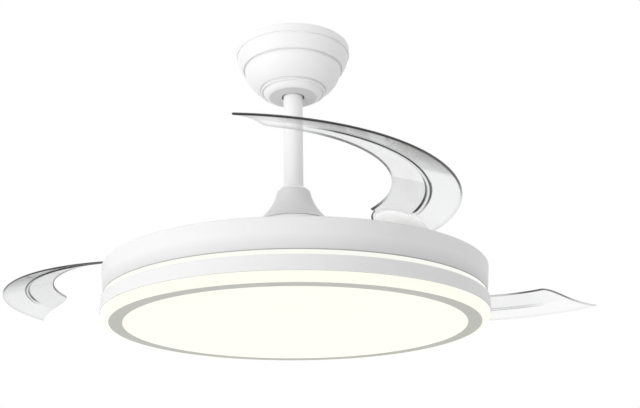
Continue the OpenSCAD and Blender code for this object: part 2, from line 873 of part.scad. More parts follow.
module teeth(pr, count, first, last, shift) {
  for (i = [first:last]) rotate(shift + i * 360 / count) polygon(tooth(pr));
}

sync_root_r = sync_pitch_r - 1.25 * gear_m;

module sync_gear() {
  color("ivory") {
    translate([0, 0, gear_low]) linear_extrude(gear_t) difference() {
      union() {
        difference() {
          circle(r = sync_root_r);
          circle(r = sync_ring_in_r);
        }
        difference() {
          union() {
            circle(r = sync_hub_r);
            around(3, sync_hub_r - 4, lead) translate([0, -spoke_w / 2])
              square([sync_ring_in_r - sync_hub_r + 8, spoke_w]);
          }
          circle(r = guide_r + fit);
        }
        for (k = [0:2]) teeth(sync_pitch_r, sync_teeth, -6, 2, lead + 120 * k);
      }
    }
    around(3, spring_seat_r, lead) post(spring_post_r, gear_top - eps, spring_z + 3);
  }
}

// ----------------------------------------------------------------- blades

// Children drawn folded, with the pivot on +X, swung open as blade k
module opened(k) {
  rotate(lead + 120 * (k - 1)) translate([pivot_r, 0, 0]) rotate(swing)
    translate([-pivot_r, 0, 0]) children();
}

// Coned slab between two heights over the middle surface of a blade
module slab(low, high) {
  rotate_extrude() polygon([
    [blade_in_r, blade_z(blade_in_r) + low], [blade_out_r, blade_z(blade_out_r) + low],
    [blade_out_r, blade_z(blade_out_r) + high], [blade_in_r, blade_z(blade_in_r) + high]]);
}

corner_a = tip_a - corner_back;
tip = polar(blade_out_r, -tip_a);
tip_lead = polar(blade_out_r - 24, -tip_a + 8.5);
far_r = 1.3 * blade_out_r;

// Plan of a folded blade: a round root, and an end that curves in to a slim tip
module blade_plan() {
  translate([pivot_r, 0]) circle(r = root_r);
  polygon(concat(
    [[0, 0]], [for (i = [0:4]) polar(far_r, -i * (tip_a - 8) / 4)],
    [tip + 1.5 * (tip - tip_lead)],
    bez([tip, tip_lead, polar(blade_in_r, -corner_a - 0.5), polar(blade_in_r, -corner_a + 10)], 12)));
}

// Bead under the blade between two angles
module rib(r, w, a0, a1) {
  rotate(-a1) rotate_extrude(angle = a1 - a0) polygon([
    [r - w / 2, blade_z(r - w / 2) - blade_t / 2 + 0.3],
    [r - w / 2 + 0.5, blade_z(r) - blade_t / 2 - rib_h],
    [r + w / 2 - 0.5, blade_z(r) - blade_t / 2 - rib_h],
    [r + w / 2, blade_z(r + w / 2) - blade_t / 2 + 0.3]]);
}

module at_pivot() {
  translate([pivot_r, 0, 0]) children();
}

// Places square to the coned blade, where the hub screws go
module at_hub_screws() {
  for (a = [30, 150, 270]) {
    p = [pivot_r, 0] + polar(hub_screw_seat, a);
    translate([p[0], p[1], blade_z(norm(p))]) rotate([0, blade_slope, atan2(p[1], p[0])])
      children();
  }
}

rib_start = 11;
rib_end = tip_a - 16;

module blade() {
  color([0.85, 0.88, 0.9, 0.5]) {
    intersection() {
      slab(-blade_t / 2, blade_t / 2);
      difference() {
        translate([0, 0, drum_z]) linear_extrude(60) blade_plan();
        at_pivot() post(pivot_shaft_r, drum_z - eps, drum_z + 61);
        at_hub_screws() post(hub_screw_r, -10, 10);
      }
    }
    rib(rib_r, rib_w, rib_start, rib_end);
  }
}

// Coned disc round the pivot with the holes of the shaft and the screws
module hub_disc(r, low, high) {
  intersection() {
    slab(low, high);
    difference() {
      at_pivot() post(r, drum_z - 10, drum_z + 50);
      at_pivot() post(pivot_shaft_r, drum_z - 11, drum_z + 51);
      at_hub_screws() post(hub_screw_r, -15, 15);
    }
  }
}

module root_hub() {
  color("white") {
    hub_disc(hub_r, -blade_t / 2 - hub_t, -blade_t / 2);
    hub_disc(hub_r - 2, blade_t / 2, blade_t / 2 + hub_cap_t);
  }
}

module hub_screws() {
  color("silver") at_hub_screws() {
    post(hub_screw_r, -blade_t / 2 - hub_t + 0.5, blade_t / 2 + hub_cap_t);
    post(3.2, blade_t / 2 + hub_cap_t, blade_t / 2 + hub_cap_t + 1.8);
  }
}

// The gear has a tall hub, cut slanted, that carries the root hub.
module blade_gear() {
  space_a = 180 - swing;
  tooth_a = 360 / blade_teeth;
  color("ivory") intersection() {
    slab(-60, -blade_t / 2 - hub_t);
    difference() {
      at_pivot() {
        translate([0, 0, gear_low]) linear_extrude(gear_t) {
          intersection() {
            circle(r = blade_pitch_r - 1.25 * gear_m);
            polygon(concat([[0, 0]],
              [for (i = [-2.3:1:4.7]) polar(2 * blade_pitch_r, space_a + (i + 0.5) * tooth_a)]));
          }
          teeth(blade_pitch_r, blade_teeth, -2, 4, space_a + tooth_a / 2);
        }
        post(hub_boss_r, gear_low, drum_z + 60);
      }
      at_pivot() post(pivot_shaft_r, gear_low - eps, drum_z + 61);
    }
  }
}

shaft_clip_t = 1.2;

module pivot_shaft() {
  color("silver") at_pivot() {
    post(pivot_shaft_r, carrier_low - 2, blade_z(pivot_r) + blade_t / 2 + 1.5);
    ring(pivot_shaft_r + 3, pivot_shaft_r, carrier_low - 0.3 - shaft_clip_t, carrier_low - 0.3);
  }
}

module blade_1() { opened(1) blade(); }
module blade_2() { opened(2) blade(); }
module blade_3() { opened(3) blade(); }
module root_hub_1() { opened(1) root_hub(); }
module root_hub_2() { opened(2) root_hub(); }
module root_hub_3() { opened(3) root_hub(); }
module hub_screws_1() { opened(1) hub_screws(); }
module hub_screws_2() { opened(2) hub_screws(); }
module hub_screws_3() { opened(3) hub_screws(); }
module blade_gear_1() { opened(1) blade_gear(); }
module blade_gear_2() { opened(2) blade_gear(); }
module blade_gear_3() { opened(3) blade_gear(); }
module pivot_shaft_1() { opened(1) pivot_shaft(); }
module pivot_shaft_2() { opened(2) pivot_shaft(); }
module pivot_shaft_3() { opened(3) pivot_shaft(); }

ceiling_bracket();
canopy();
canopy_screws();
canopy_trim();
remote_receiver();
terminal_block();
earth_screw();
hanger_ball();
ball_pin();
downrod();
coupling_cover();
coupling();
clevis_pin();
clevis_clip();
coupling_set_screws();
motor_shaft();
stator_core();
stator_windings();
bearing_inner_races();
supply_cable();
shaft_nut();
drum_housing();
led_tray();
light_screws();
led_board();
led_chips();
led_driver();
slit_ring();
lower_band();
diffuser();
trim_ring();
motor_bell();
motor_base();
rotor_magnets();
bearing_outer_races();
bearing_balls();
blade_carrier();
rotor_screws();
pivot_bushes();
sync_guide();
return_springs();
mechanism_cover();
cover_screws();
sync_gear();
blade_1();
root_hub_1();
hub_screws_1();
blade_gear_1();
pivot_shaft_1();
blade_2();
root_hub_2();
hub_screws_2();
blade_gear_2();
pivot_shaft_2();
blade_3();
root_hub_3();
hub_screws_3();
blade_gear_3();
pivot_shaft_3();
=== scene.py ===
from math import acos, atan2, cos, degrees, hypot, pi, radians, sin

import bmesh
import bpy
from mathutils import Matrix, Vector


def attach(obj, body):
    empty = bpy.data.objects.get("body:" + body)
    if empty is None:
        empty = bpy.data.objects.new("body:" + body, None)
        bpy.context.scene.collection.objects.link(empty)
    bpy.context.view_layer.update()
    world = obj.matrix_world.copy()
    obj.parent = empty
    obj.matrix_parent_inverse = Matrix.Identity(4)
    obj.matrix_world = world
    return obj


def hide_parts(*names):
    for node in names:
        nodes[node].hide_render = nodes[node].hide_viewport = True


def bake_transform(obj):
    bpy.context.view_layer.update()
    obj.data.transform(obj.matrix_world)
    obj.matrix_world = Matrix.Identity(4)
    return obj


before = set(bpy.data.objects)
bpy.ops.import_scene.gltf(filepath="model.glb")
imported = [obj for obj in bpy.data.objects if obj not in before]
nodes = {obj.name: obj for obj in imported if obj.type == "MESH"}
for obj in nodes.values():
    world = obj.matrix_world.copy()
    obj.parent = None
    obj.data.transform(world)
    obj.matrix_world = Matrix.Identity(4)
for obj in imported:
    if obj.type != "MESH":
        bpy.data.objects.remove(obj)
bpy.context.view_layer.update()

MM = 0.001
WHITE, BLACK = (1, 1, 1, 1), (0, 0, 0, 1)

# Heights that several pieces share.
CANOPY_FOOT, TRIM_FOOT = -65.0, -74.4
SHROUD_TOP = -319.5
DRUM_RIM, DECK, DECK_LOW = -333.5, -348.5, -350.0
SLIT_TOP, BAND_TOP, BAND_FOOT, BASE = -370.0, -376.0, -393.5, -404.0


# ------------------------------------------------------------------ camera

# A pinhole camera fitted to the rims of the canopy, the drum, the slit and the grey ring.
FOCAL, SENSOR, SHIFT_X = 53.54, 36, 0.07056
CAMERA_PLACE, CAMERA_TILT = (-0.0257, -1.2207, -0.6585), 109.219

lens = bpy.data.cameras.new("camera")
lens.lens = FOCAL
lens.sensor_width = SENSOR
lens.shift_x = SHIFT_X
camera = bpy.data.objects.new("camera", lens)
camera.location = CAMERA_PLACE
camera.rotation_euler = (radians(CAMERA_TILT), 0, 0)
bpy.context.scene.collection.objects.link(camera)
bpy.context.scene.camera = camera
bpy.context.scene.view_settings.view_transform = "Standard"


# --------------------------------------------------------------- materials

def add_node(tree, kind, inputs=None, **props):
    """A new shader node. Each input is a value, or the socket that feeds it."""
    node = tree.nodes.new("ShaderNode" + kind)
    for key, value in props.items():
        setattr(node, key, value)
    for key, value in (inputs or {}).items():
        if isinstance(value, bpy.types.NodeSocket):
            tree.links.new(value, node.inputs[key])
        else:
            node.inputs[key].default_value = value
    return node


class Tree:
    """A material's nodes, with short ways to add the few kinds used here."""

    def __init__(self, name):
        self.mat = bpy.data.materials.new(name)
        self.mat.use_nodes = True
        self.t = self.mat.node_tree
        self.bsdf = self.t.nodes["Principled BSDF"]

    def add(self, kind, inputs=None, **props):
        return add_node(self.t, kind, inputs, **props)

    def place(self, stretch=(1, 1, 1)):
        where = self.add("TexCoord").outputs["Object"]
        return self.add("Mapping", {"Vector": where, "Scale": stretch}).outputs["Vector"]

    def noise(self, scale, detail=2.0, stretch=(1, 1, 1)):
        n = self.add("TexNoise", {"Vector": self.place(stretch), "Scale": scale, "Detail": detail})
        return n.outputs["Fac"]

    def ramp(self, fac, low, high, a=0.3, b=0.7):
        """Colour from low, where fac is a, to high, where it is b."""
        n = self.add("ValToRGB", {"Fac": fac})
        first, last = n.color_ramp.elements[0], n.color_ramp.elements[1]
        first.position, last.position = a, b
        first.color, last.color = (*low, 1), (*high, 1)
        return n.outputs["Color"]

    def span(self, fac, low, high, a=0.3, b=0.7):
        """Number from low, where fac is a, to high, where it is b."""
        return self.add("MapRange", {"Value": fac, "From Min": a, "From Max": b,
                                     "To Min": low, "To Max": high}).outputs["Result"]

    def math(self, op, a, b):
        return self.add("Math", {0: a, 1: b}, operation=op).outputs[0]

    def mix(self, fac, a, b):
        """Colour a where fac is 0, and b where it is 1."""
        return self.add("Mix", {0: fac, 6: a, 7: b}, data_type="RGBA").outputs[2]

    def to(self, name, socket):
        self.t.links.new(socket, self.bsdf.inputs[name])

    def relief(self, height, distance, strength):
        n = self.add("Bump", {"Height": height, "Distance": distance, "Strength": strength})
        self.to("Normal", n.outputs["Normal"])

    def set(self, **values):
        for k, v in values.items():
            self.bsdf.inputs[k.replace("_", " ")].default_value = v


def surface(name, colour, rough, metal=0.0, vary=0.02, patch=9.0, grain=1400.0, bump=0.00002,
            stretch=(1, 1, 1), sweep=0.05, shade=None, **sockets):
    """Opaque finish: slow colour drift, finer roughness change and a fine relief.
    shade (foot, top, level) paints shade into the colour: it darkens smoothly to level at the
    height foot."""
    m = Tree(name)
    low = [c * (1 - vary) for c in colour]
    high = [min(1.0, c * (1 + vary)) for c in colour]
    tone = m.ramp(m.noise(patch, 3.0), low, high)
    if shade:
        foot, top, level = shade
        height = m.add("SeparateXYZ", {0: m.place()}).outputs["Z"]
        tone = m.mix(m.span(height, 1 - level, 0.0, foot, top), tone, BLACK)
    m.to("Base Color", tone)
    fine = m.noise(grain, 2.0, stretch)
    m.to("Roughness", m.span(fine, max(0.02, rough - sweep), min(1.0, rough + sweep)))
    m.relief(fine, bump, 0.6)
    m.set(Metallic=metal, **sockets)
    return m.mat


def white_paint(name, tone, rough=0.42, vary=0.008, **more):
    """Satin paint of one white or grey, with little gloss."""
    return surface(name, (tone, tone, tone), rough, vary=vary, grain=1600, bump=0.000012,
                   Specular_IOR_Level=0.2, **more)


def glowing(name, colour, warm, strength, base, patch=7.0):
    """Lit plastic: an even glow with a faint warm drift over a frosted body."""
    m = Tree(name)
    m.to("Emission Color", m.ramp(m.noise(patch, 2.0), warm, colour))
    m.set(Emission_Strength=strength, Base_Color=(*base, 1), IOR=1.45, Specular_IOR_Level=0.15)
    grain = m.noise(2600.0, 2.0)
    m.to("Roughness", m.span(grain, 0.45, 0.6))
    m.relief(grain, 0.00001, 0.4)
    return m.mat


def banded(name, dark, light, per_m, rough, bump):
    """Metal with fine level lines, as laminated steel or wound wire shows."""
    m = Tree(name)
    scale = per_m * 0.314  # a wave texture has 10 / pi bands to the unit at scale 1
    lines = m.add("TexWave", {"Vector": m.place(), "Scale": scale, "Distortion": 0.4,
                              "Detail": 1.0}, wave_type="BANDS", bands_direction="Z")
    m.to("Base Color", m.ramp(lines.outputs["Fac"], dark, light, 0.1, 0.9))
    m.to("Roughness", m.span(m.noise(500.0), rough - 0.06, rough + 0.06))
    m.relief(lines.outputs["Fac"], bump, 0.8)
    m.set(Metallic=1.0)
    return m.mat


def clear_plastic():
    """Clear moulded blade. Three painted values of the mesh steer it, all painted shade and
    reflection: one for how dark and solid an edge or a rib wall looks, one for the faint grey of
    the sheet, and one for the stronger grey that the outer part shows only where it is seen at a
    slant."""
    m = Tree("clear_blade")
    ink, haze, smoke = (m.add("Attribute", attribute_name=n).outputs["Fac"]
                        for n in ("ink", "haze", "smoke"))
    facing = m.add("LayerWeight", {"Blend": 0.5}).outputs["Facing"]
    smoke = m.math("MULTIPLY", smoke, m.span(facing, 0.0, 1.0, 0.66, 0.78))
    smoke = m.math("MULTIPLY", smoke, m.span(m.noise(14.0, 2.0), 0.88, 1.08))
    haze = m.math("MULTIPLY", haze, m.span(facing, 0.5, 1.0, 0.45, 0.75))
    grey = m.math("ADD", haze, smoke)
    tint = m.mix(grey, (0.80, 0.82, 0.83, 1), (0.13, 0.135, 0.14, 1))
    m.to("Base Color", m.mix(ink, tint, (0.015, 0.015, 0.017, 1)))
    alpha = m.math("ADD", m.math("MULTIPLY", ink, 0.9), m.math("MULTIPLY", grey, 0.62))
    alpha = m.math("ADD", alpha, m.span(facing, 0.0, 0.45, 0.88, 0.98))
    alpha = m.add("Math", {0: alpha, 1: 0.035}, operation="ADD", use_clamp=True).outputs[0]
    m.to("Alpha", alpha)
    m.to("Roughness", m.span(m.noise(900.0, 2.0), 0.04, 0.10))
    m.relief(m.noise(30.0, 1.0), 0.0002, 0.5)
    m.set(IOR=1.49)
    return m.mat


paint = white_paint("white_paint", 0.88)
# The drum's paint darkens towards its lower edge: painted shade above the lit slit.
drum_shade_paint = white_paint("drum_shade_paint", 0.88, shade=(-0.369, -0.352, 0.86))
# A lighter copy of the white paint for the canopy and its trim: painted light, as from a ceiling
# close above.
canopy_lit_paint = white_paint("canopy_lit_paint", 0.95, vary=0.006)
# A darker grey of the white paint for the floor of the trim's dish: painted shade.
dish_shade_paint = white_paint("dish_shade_paint", 0.73, 0.45, 0.01)
# A darker grey of the white paint for the flank of the coupling cover: painted shade.
cone_shade_paint = white_paint("cone_shade_paint", 0.73, 0.45, 0.012)
# A brighter white for the rod that darkens towards its foot: painted light at its top and painted
# shade at its foot.
rod_light_and_shade_paint = surface("rod_light_and_shade_paint", (0.965, 0.965, 0.965), 0.34, vary=0.01, grain=1100,
                    stretch=(1, 1, 0.08), bump=0.00001, shade=(-0.205, -0.09, 0.865))
casting = surface("white_casting", (0.86, 0.86, 0.85), 0.5, vary=0.02, grain=700, bump=0.00005)
shell = surface("white_shell", (0.89, 0.89, 0.88), 0.38, vary=0.01, grain=2200, bump=0.00001)
moulding = surface("white_moulding", (0.92, 0.92, 0.91), 0.48, vary=0.012, grain=1900,
                   bump=0.000015)
# The hubs' white glows faintly, though they are no lamps: painted light that keeps them white over
# the shaded drum top.
hub_glow_white = surface("hub_glow_white", (0.96, 0.96, 0.955), 0.2, vary=0.005, grain=1900,
                    bump=0.000006, sweep=0.04, Coat_Weight=0.6, Coat_Roughness=0.06,
                    Emission_Color=WHITE, Emission_Strength=0.24)
# A mid grey for thin rings that stand for shadow lines: painted shadow.
shadow_grey = surface("shadow_grey", (0.45, 0.45, 0.44), 0.6, vary=0.05, grain=900, bump=0.00002)
gear_white = surface("gear_white", (0.84, 0.83, 0.79), 0.4, vary=0.03, grain=900, bump=0.00002)
zinc = surface("zinc_steel", (0.66, 0.67, 0.68), 0.32, 1.0, vary=0.10, patch=60, grain=800,
               stretch=(1, 0.12, 1), bump=0.00001, sweep=0.1)
bright = surface("turned_steel", (0.72, 0.73, 0.74), 0.22, 1.0, vary=0.05, patch=40, grain=900,
                 stretch=(0.2, 0.2, 6), bump=0.000008, sweep=0.06)
spring_steel = surface("spring_steel", (0.5, 0.51, 0.53), 0.28, 1.0, vary=0.12, patch=120,
                       grain=1500)
aluminium = surface("bare_aluminium", (0.78, 0.79, 0.80), 0.42, 1.0, vary=0.04, patch=20,
                    grain=700, stretch=(0.1, 1, 1), bump=0.00001, sweep=0.1)
rubber = surface("dark_rubber", (0.035, 0.035, 0.036), 0.7, vary=0.2, patch=80, grain=1300,
                 bump=0.00006)
magnet = surface("magnet", (0.12, 0.12, 0.13), 0.55, vary=0.15, patch=90, grain=900,
                 bump=0.00005)
bronze = surface("bush_bronze", (0.62, 0.42, 0.16), 0.34, 1.0, vary=0.12, patch=90, grain=1200)
sheath = surface("cable_sheath", (0.82, 0.82, 0.80), 0.5, vary=0.03, patch=40, grain=1500,
                 bump=0.00003)
board = surface("board", (0.88, 0.89, 0.87), 0.4, vary=0.02, patch=60, grain=600, bump=0.00002)
chip = surface("chip", (0.92, 0.76, 0.22), 0.5, vary=0.1, patch=900, grain=2500, bump=0.00004)
grey = surface("grey_ring", (0.655, 0.655, 0.605), 0.46, vary=0.015, patch=12, grain=1500,
               bump=0.00001)
stack = banded("stator_steel", (0.10, 0.10, 0.11), (0.34, 0.35, 0.37), 1400, 0.5, 0.00006)
copper = banded("copper", (0.42, 0.14, 0.05), (0.86, 0.42, 0.20), 1100, 0.36, 0.0002)
opal = glowing("opal_diffuser", (1.0, 1.0, 0.90), (1.0, 0.995, 0.88), 0.92, (0.09, 0.09, 0.08))
slit = glowing("glow_plastic", (0.99, 1.0, 0.95), (0.98, 0.985, 0.93), 0.90, (0.09, 0.09, 0.085))
blade_clear = clear_plastic()


# ------------------------------------------------------------ mesh helpers

FINE = 320  # sides of the drum's large rings


def piece(name, verts, faces, mat, body, stands=(), slot=None, sharp=32, attributes=None):
    """An object of the given mesh that rides on body in place of the CAD nodes stands."""
    mesh = bpy.data.meshes.new(name)
    mesh.from_pydata([(x * MM, y * MM, z * MM) for x, y, z in verts], [], faces)
    bm = bmesh.new()
    bm.from_mesh(mesh)
    bmesh.ops.recalc_face_normals(bm, faces=bm.faces)
    bm.to_mesh(mesh)
    bm.free()
    mesh.shade_smooth()
    mesh.set_sharp_from_angle(angle=radians(sharp))
    for key, values in (attributes or {}).items():
        mesh.attributes.new(key, "FLOAT", "POINT").data.foreach_set("value", values)
    mesh.materials.append(mat)
    ob = bpy.data.objects.new(name, mesh)
    bpy.context.scene.collection.objects.link(ob)
    weighted = ob.modifiers.new("weighted", "WEIGHTED_NORMAL")
    weighted.keep_sharp = True
    weighted.weight = 90
    if body:
        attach(ob, body)
    if stands:
        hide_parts(*stands)
    return ob


def lathe(profile, n=224):
    """Verts and faces of a closed profile of (radius, height) turned round Z."""
    verts, rows = [], []
    for r, z in profile:
        if r < 1e-6:
            rows.append([len(verts)] * n)
            verts.append((0, 0, z))
        else:
            rows.append(list(range(len(verts), len(verts) + n)))
            verts += [(r * cos(2 * pi * i / n), r * sin(2 * pi * i / n), z) for i in range(n)]
    faces = []
    for a, b in zip(rows, rows[1:] + rows[:1]):
        for i in range(n):
            j = (i + 1) % n
            f = [a[i], a[j], b[j], b[i]]
            f = [v for k, v in enumerate(f) if v != f[k - 1]]
            if len(f) > 2:
                faces.append(f)
    return verts, faces


def curve(p, n):
    """Points of the cubic with the control points p."""
    out = []
    for i in range(n + 1):
        t = i / n
        w = ((1 - t) ** 3, 3 * (1 - t) ** 2 * t, 3 * (1 - t) * t * t, t ** 3)
        out.append(tuple(sum(w[k] * p[k][c] for k in range(4)) for c in (0, 1)))
    return out


def arc(x, y, radius, angles, rise=None):
    """Points at angles, in degrees, on a circle round (x, y), or on an ellipse rise high."""
    rise = rise or radius
    return [(x + radius * cos(radians(a)), y + rise * sin(radians(a))) for a in angles]


def soft(points, size, bend, n=3):
    """The closed profile with corners sharper than bend rounded, those on the axis kept."""
    out = []
    for i, p in enumerate(points):
        a, b = points[i - 1], points[(i + 1) % len(points)]
        la, lb = hypot(a[0] - p[0], a[1] - p[1]), hypot(b[0] - p[0], b[1] - p[1])
        if la < 1e-6 or lb < 1e-6:
            continue
        cross = (p[0] - a[0]) * (b[1] - p[1]) - (p[1] - a[1]) * (b[0] - p[0])
        along = (p[0] - a[0]) * (b[0] - p[0]) + (p[1] - a[1]) * (b[1] - p[1])
        if p[0] < 1e-6 or degrees(abs(atan2(cross, along))) < bend:
            out.append(p)
            continue
        c = min(size, la * 0.45, lb * 0.45)
        s = (p[0] + (a[0] - p[0]) * c / la, p[1] + (a[1] - p[1]) * c / la)
        e = (p[0] + (b[0] - p[0]) * c / lb, p[1] + (b[1] - p[1]) * c / lb)
        for k in range(n + 1):
            t = k / n
            w = (1 - t) ** 2, 2 * (1 - t) * t, t * t
            out.append(tuple(w[0] * s[q] + w[1] * p[q] + w[2] * e[q] for q in (0, 1)))
    return out


def turned(name, profile, mat, body, node, slot, size, n=FINE, bend=24):
    """A lathed piece in place of one CAD node. Corners sharper than bend get soft by size."""
    return piece(name, *lathe(soft(profile, size, bend), n), mat, body, [node], slot)


def finish_below(ob, mat, height):
    """Gives mat to the faces that lie wholly below height."""
    ob.data.materials.append(mat)
    for face in ob.data.polygons:
        tops = (ob.data.vertices[v].co.z for v in face.vertices)
        face.material_index = int(max(tops) < height * MM)


def join(*parts):
    verts, faces = [], []
    for v, f in parts:
        faces += [[i + len(verts) for i in g] for g in f]
        verts += list(v)
    return verts, faces


def moved(part, matrix):
    v, f = part
    return [tuple(matrix @ Vector(p)) for p in v], f


def turn(deg, axis="Z"):
    return Matrix.Rotation(radians(deg), 4, axis)


def shift(x, y, z):
    return Matrix.Translation((x, y, z))


def tube(path, radius, sides):
    """Verts and faces of a round wire along the points of path, with closed ends."""
    pts = [Vector(p) for p in path]
    verts, faces = [], []
    ahead = (pts[1] - pts[0]).normalized()
    side = ahead.orthogonal().normalized()
    for i, p in enumerate(pts):
        d = (pts[min(i + 1, len(pts) - 1)] - pts[max(i - 1, 0)]).normalized()
        side = (side - d * side.dot(d)).normalized()
        up = d.cross(side)
        for k in range(sides):
            a = 2 * pi * k / sides
            verts.append(tuple(p + radius * (side * cos(a) + up * sin(a))))
    for i in range(len(pts) - 1):
        for k in range(sides):
            a, b = i * sides + k, i * sides + (k + 1) % sides
            faces.append([a, b, b + sides, a + sides])
    faces.append(list(range(sides))[::-1])
    faces.append([len(verts) - sides + k for k in range(sides)])
    return verts, faces


def screw_head(r, h, recess=0.55, n=48):
    """A domed head with a cross recess, its seat at z = 0 and its top at z = h."""
    flank = [(1.0, 0.0), (1.0, 0.22), (0.97, 0.42), (0.86, 0.68), (0.7, 0.84)]
    steps = 10
    crown = [(0.62 * (1 - i / steps), None) for i in range(steps)]
    verts, rows = [], []
    for s, level in flank + crown:
        row = []
        for i in range(n):
            a = 2 * pi * i / n
            x, y = r * s * cos(a), r * s * sin(a)
            if level is None:
                top = h * (0.84 + 0.16 * (1 - (s / 0.7) ** 2))
                across, along = min(abs(x), abs(y)), max(abs(x), abs(y))
                inside = min(max((0.13 * r - across) / (0.05 * r), 0), 1)
                inside *= min(max((0.58 * r - along) / (0.08 * r), 0), 1)
                top -= recess * h * inside
            else:
                top = level * h
            row.append(len(verts))
            verts.append((x, y, top))
        rows.append(row)
    centre = len(verts)
    verts.append((0, 0, h * (1 - recess)))
    faces = [rows[0][::-1]]
    for a, b in zip(rows, rows[1:]):
        faces += [[a[i], a[(i + 1) % n], b[(i + 1) % n], b[i]] for i in range(n)]
    faces += [[rows[-1][i], rows[-1][(i + 1) % n], centre] for i in range(n)]
    return verts, faces


def rod(r, low, high, n=32):
    """An upright pin with chamfered ends."""
    c = min(0.3, r * 0.2)
    return lathe([(0, low), (r - c, low), (r, low + c), (r, high - c), (r - c, high), (0, high)],
                 n)


def rounded_box(x, y, z, r, n=5):
    """Box on z = 0 with rounded upright corners and soft top and bottom edges."""
    levels = [(0, 0.5), (0.5, 0), (z - 0.8, 0), (z - 0.25, 0.25), (z, 0.8)]
    verts, rows = [], []
    for h, inset in levels:
        row = []
        for cx, cy, a0 in ((1, 1, 0), (-1, 1, 90), (-1, -1, 180), (1, -1, 270)):
            for k in range(n + 1):
                a = radians(a0 + 90 * k / n)
                row.append(len(verts))
                verts.append((cx * (x / 2 - r) + (r - inset) * cos(a),
                              cy * (y / 2 - r) + (r - inset) * sin(a), h))
        rows.append(row)
    m = len(rows[0])
    faces = [rows[0][::-1], rows[-1]]
    for a, b in zip(rows, rows[1:]):
        faces += [[a[i], a[(i + 1) % m], b[(i + 1) % m], b[i]] for i in range(m)]
    return verts, faces


# --------------------------------------------------- canopy at the ceiling

CANOPY_SIDES = 224
POST = 29.5  # distance of the canopy's screws from the axis

# Rim, tier, groove, bowl, second groove and flat bottom, then the inner face back up.
tier = curve([(79.3, -13.6), (77.9, -19.5), (74.6, -27.2), (71.2, -31.9)], 16)
bowl = curve([(68.3, -34.2), (66.6, -45.0), (58.4, -57.4), (47.6, -63.4)], 24)
canopy = [(80.2, 0), (80.6, -0.5), (80.6, -10.9), (80.2, -11.4), (79.6, -11.2), (78.2, -10.6),
          (77.8, -11.6), (78.4, -13.0)]
canopy += tier + [(70.8, -32.3), (70.1, -31.9), (69.2, -29.9), (67.2, -30.0), (66.8, -32.0),
                  (67.4, -33.6)]
canopy += bowl + [(46.8, -63.7), (46.3, -62.9), (46.3, -61.8), (44.8, -61.8), (44.8, -64.8),
                  (44.2, CANOPY_FOOT), (18.0, CANOPY_FOOT), (18.0, -63.6), (43.6, -63.6),
                  (43.6, -60.8)]
canopy += [(r - 1.4, z + 2.0) for r, z in reversed(bowl[6:])] + [(65.2, -31.0), (65.2, -28.8)]
canopy += [(r - 2.6, z + 1.2) for r, z in reversed(tier[:-3])]
canopy += [(76.2, -9.6), (79.2, -9.0), (79.2, 0)]
turned("canopy_shell", canopy, canopy_lit_paint, "ceiling_mount", "canopy", "white_paint", 0.4,
       CANOPY_SIDES)

# The trim has a bead round a dish, whose floor is painted darker: painted shade.
dish = curve([(41.6, -67.2), (40.2, -70.0), (36.8, TRIM_FOOT), (31.0, TRIM_FOOT)], 14)
trim = arc(44.3, -66.6, 1.5, range(90, -171, -20), 1.2)
trim += [(42.6, -65.9), (41.9, -65.9)] + dish
trim += [(16.6, TRIM_FOOT), (15.8, -73.8), (15.8, -73.2)]
trim += [(r - 0.9, z + 1.2) for r, z in reversed(dish)] + [(41.0, -65.0), (43.4, -65.0)]
dished = turned("canopy_trim_dish", trim, canopy_lit_paint, "ceiling_mount", "canopy_trim",
                "white_paint", 0.25, CANOPY_SIDES)
finish_below(dished, dish_shade_paint, -73.9)

heads = []
for x in (-POST, POST):
    heads += [moved(screw_head(3.8, 2.2), shift(x, 0, CANOPY_FOOT) @ turn(180, "X")),
              moved(rod(1.95, -65.2, -55.6), shift(x, 0, 0))]
piece("canopy_screw_heads", *join(*heads), zinc, "ceiling_mount", ["canopy_screws"],
      "white_paint", sharp=40)

# The remote receiver is a rounded box with a shallow raised panel under it.
box = rounded_box(54, 26, 10, 3)
panel = moved(rounded_box(46, 18, 0.6, 2), shift(0, 0, -0.5))
piece("receiver_box", *moved(join(box, panel), shift(0, 0, -12.5)), moulding, "ceiling_mount",
      ["remote_receiver"], "white_moulding")


# -------------------------------------------------- cover of the coupling

# Collar, rounded shoulder, hollow flank, groove and foot ring, then the inner face back up.
flank = curve([(22.8, -217.6), (26.0, -231.0), (31.4, -245.4), (52.0, -262.2)], 22)
cover = [(13.6, -211.0), (14.3, -211.0), (14.7, -211.4), (14.7, -214.9), (15.8, -215.2),
         (19.2, -215.4)]
cover += arc(20.2, -217.8, 2.5, (75, 60, 45, 30, 15)) + flank
cover += [(52.3, -262.6), (52.1, -263.1), (50.0, -263.3), (50.0, -264.1), (51.8, -264.3),
          (52.2, -264.8), (52.2, -271.5), (51.7, -272.0), (48.8, -272.0), (48.8, -265.0)]
cover += [(r - 1.5, z) for r, z in reversed(flank) if r < 49.5]
cover += [(20.0, -216.8), (13.6, -216.6)]
coned = turned("coupling_cover_cone", cover, cone_shade_paint, "suspension", "coupling_cover",
               "white_paint", 0.4, 160)
# The foot ring takes the plain white paint; the flank above it keeps its painted shade.
finish_below(coned, paint, -263.8)


# --------------------------------------------------------- drum and light

DRUM_R, LIP = 251.6, 2.0  # the drum at its rim, and the roundness of that rim

drum = [(245.6, SLIT_TOP), (246.4, SLIT_TOP), (246.4, -369.2), (247.0, -369.0), (247.5, -368.5),
        (248.2, -365.0), (248.95, -362.0)]
drum += arc(DRUM_R - LIP, DRUM_RIM - LIP, LIP, range(0, 91, 15))
drum += [(249.4, -333.9), (249.0, -334.6), (248.6, -346.5), (246.6, DECK), (8.5, DECK),
         (8.5, DECK_LOW), (246.8, DECK_LOW)]
turned("drum_shell", drum, drum_shade_paint, "suspension", "drum_housing", "white_paint", 0.4)

